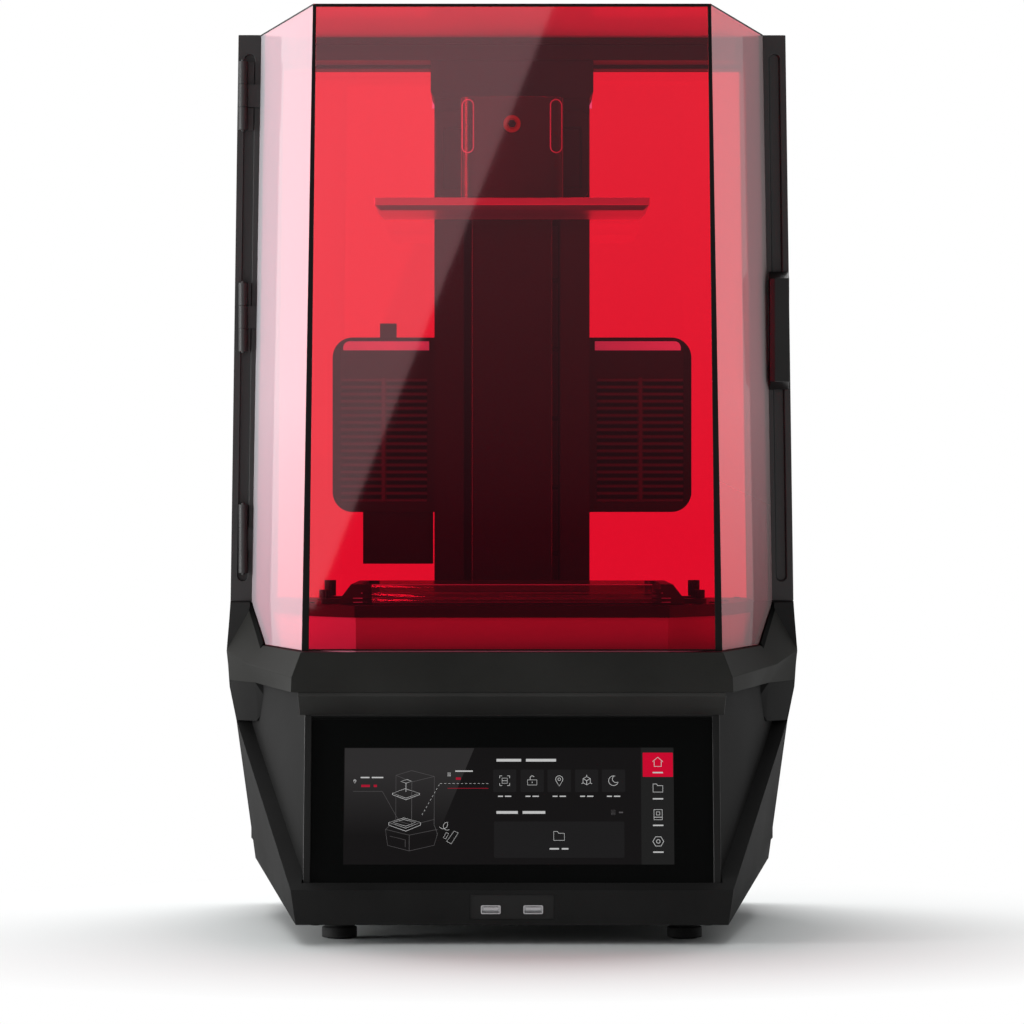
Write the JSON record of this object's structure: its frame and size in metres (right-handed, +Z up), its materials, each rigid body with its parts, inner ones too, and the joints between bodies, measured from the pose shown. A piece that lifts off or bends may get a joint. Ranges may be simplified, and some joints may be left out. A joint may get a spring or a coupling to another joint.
{
  "type": "resin printer",
  "caption": "Resin 3D printer with a side-hinged tinted hood, tilting touch screen front, Z tower with sliding build platform, resin vat, filter and heater units.",
  "frame": {"origin": "centre of the footprint on the table, under the feet", "axes": "+X to the right seen from the front, +Y towards the rear panel, +Z up"},
  "size_m": [0.449, 0.4, 0.691],
  "materials": {
    "shell_black": "fine moulded texture",
    "frame_black": "satin powder coat",
    "trim_black": "satin moulded",
    "floor_plate": "matt powder coat",
    "screen_glass": "polished cover glass",
    "display": "dark display",
    "tinted_panel": "clear red acrylic",
    "plate_black": "black anodised",
    "vat_clear": "clear moulded walls between dark end grips",
    "apron_alloy": "brushed",
    "alloy": "machined",
    "steel": "ground steel",
    "motor_black": "satin",
    "zinc_sheet": "folded sheet",
    "board_green": "solder mask",
    "fan_black": "moulded",
    "filter_grey": "moulded",
    "knob_red": "red anodised",
    "window_glass": "clear",
    "film": "clear film",
    "rubber": "matt"
  },
  "bodies": {
    "chassis": {"base_shell": "shell_black", "base_rim": "shell_black", "front_fascia": "trim_black", "screen_bezel": "trim_black", "screen_glass": "screen_glass", "display_panel": "display", "usb_panel": "trim_black", "data_ports": "steel", "bottom_plate": "floor_plate", "feet": "rubber", "rear_panel": "trim_black", "power_inlet": "trim_black", "cooling_fan_frame": "trim_black", "deck_plate": "plate_black", "front_apron": "apron_alloy", "projection_window": "window_glass", "left_column": "frame_black", "right_column": "frame_black", "top_beam": "frame_black", "rear_windows": "tinted_panel", "tower_column": "frame_black", "tower_cap": "frame_black", "linear_rails": "steel", "z_motor": "motor_black", "screw_bearings": "alloy", "filter_housing": "trim_black", "filter_grille": "trim_black", "filter_duct": "trim_black", "heater_housing": "trim_black", "heater_grille": "trim_black", "heater_core": "alloy", "projector": "motor_black", "power_supply": "zinc_sheet", "mainboard": "board_green", "hinge_brackets": "frame_black", "hinge_pins": "steel"},
    "door": {"hood_front": "tinted_panel", "hood_left": "tinted_panel", "hood_right": "tinted_panel", "hood_top": "tinted_panel", "door_rails": "frame_black", "door_hinge_leaves": "frame_black", "door_handle": "trim_black"},
    "carriage": {"carriage_plate": "alloy", "platform_arm": "plate_black"},
    "screw": {"lead_screw": "steel"},
    "platform": {"build_platform": "alloy", "platform_bracket": "plate_black"},
    "lock_knob": {"arm_lock_knob": "knob_red"},
    "vat": {"vat_frame": "vat_clear", "vat_film": "film"},
    "knob_front_left": {"vat_knob_front_left": "trim_black"},
    "knob_front_right": {"vat_knob_front_right": "trim_black"},
    "knob_rear_left": {"vat_knob_rear_left": "trim_black"},
    "knob_rear_right": {"vat_knob_rear_right": "trim_black"},
    "filter": {"filter_cartridge": "filter_grey"},
    "filter_fan": {"filter_fan_rotor": "fan_black"},
    "heater_fan": {"heater_fan_rotor": "fan_black"},
    "cooling_fan": {"cooling_fan_rotor": "fan_black"},
    "rocker": {"power_switch": "trim_black"}
  },
  "joints": [
    {"name": "door_swing", "type": "hinge", "parent": "chassis", "child": "door", "pos_m": [-0.211, 0.0725, 0.469], "axis": [0, 0, -1], "range_deg": [0, 110]},
    {"name": "z_travel", "type": "slide", "parent": "chassis", "child": "carriage", "axis": [0, 0, 1], "range_m": [-0.293, 0]},
    {"name": "screw_turn", "type": "hinge", "parent": "chassis", "child": "screw", "pos_m": [0, 0.1245, 0.43], "axis": [0, 0, 1], "range_deg": [-21200, 0]},
    {"name": "platform_slide", "type": "slide", "parent": "carriage", "child": "platform", "axis": [0, -1, 0], "range_m": [0, 0.095]},
    {"name": "lock_turn", "type": "hinge", "parent": "platform", "child": "lock_knob", "pos_m": [0, -0.03, 0.612], "axis": [0, 1, 0], "range_deg": [0, 720]},
    {"name": "vat_lift", "type": "slide", "parent": "chassis", "child": "vat", "axis": [0, 0, 1], "range_m": [0, 0.12]},
    {"name": "knob_turn_front_left", "type": "hinge", "parent": "vat", "child": "knob_front_left", "pos_m": [-0.14, -0.104, 0.26], "axis": [0, 0, 1], "range_deg": [0, 720]},
    {"name": "knob_turn_front_right", "type": "hinge", "parent": "vat", "child": "knob_front_right", "pos_m": [0.14, -0.104, 0.26], "axis": [0, 0, 1], "range_deg": [0, 720]},
    {"name": "knob_turn_rear_left", "type": "hinge", "parent": "vat", "child": "knob_rear_left", "pos_m": [-0.14, 0, 0.26], "axis": [0, 0, 1], "range_deg": [0, 720]},
    {"name": "knob_turn_rear_right", "type": "hinge", "parent": "vat", "child": "knob_rear_right", "pos_m": [0.14, 0, 0.26], "axis": [0, 0, 1], "range_deg": [0, 720]},
    {"name": "filter_lift", "type": "slide", "parent": "chassis", "child": "filter", "axis": [0, 0, 1], "range_m": [0, 0.12]},
    {"name": "filter_fan_spin", "type": "hinge", "parent": "chassis", "child": "filter_fan", "pos_m": [-0.0905, 0.126, 0.284], "axis": [0, 0, 1], "continuous": true},
    {"name": "heater_fan_spin", "type": "hinge", "parent": "chassis", "child": "heater_fan", "pos_m": [0.1015, 0.138, 0.378], "axis": [0, 1, 0], "continuous": true},
    {"name": "cooling_fan_spin", "type": "hinge", "parent": "chassis", "child": "cooling_fan", "pos_m": [0.06, 0.1835, 0.1545], "axis": [0, 1, 0], "continuous": true},
    {"name": "rocker_tilt", "type": "hinge", "parent": "chassis", "child": "rocker", "pos_m": [-0.045, 0.192, 0.0745], "axis": [1, 0, 0], "range_deg": [0, 10]}
  ],
  "couplings": [
    {"joint": "screw_turn", "follows": "z_travel", "rad_per_m": 1256.6}
  ]
}
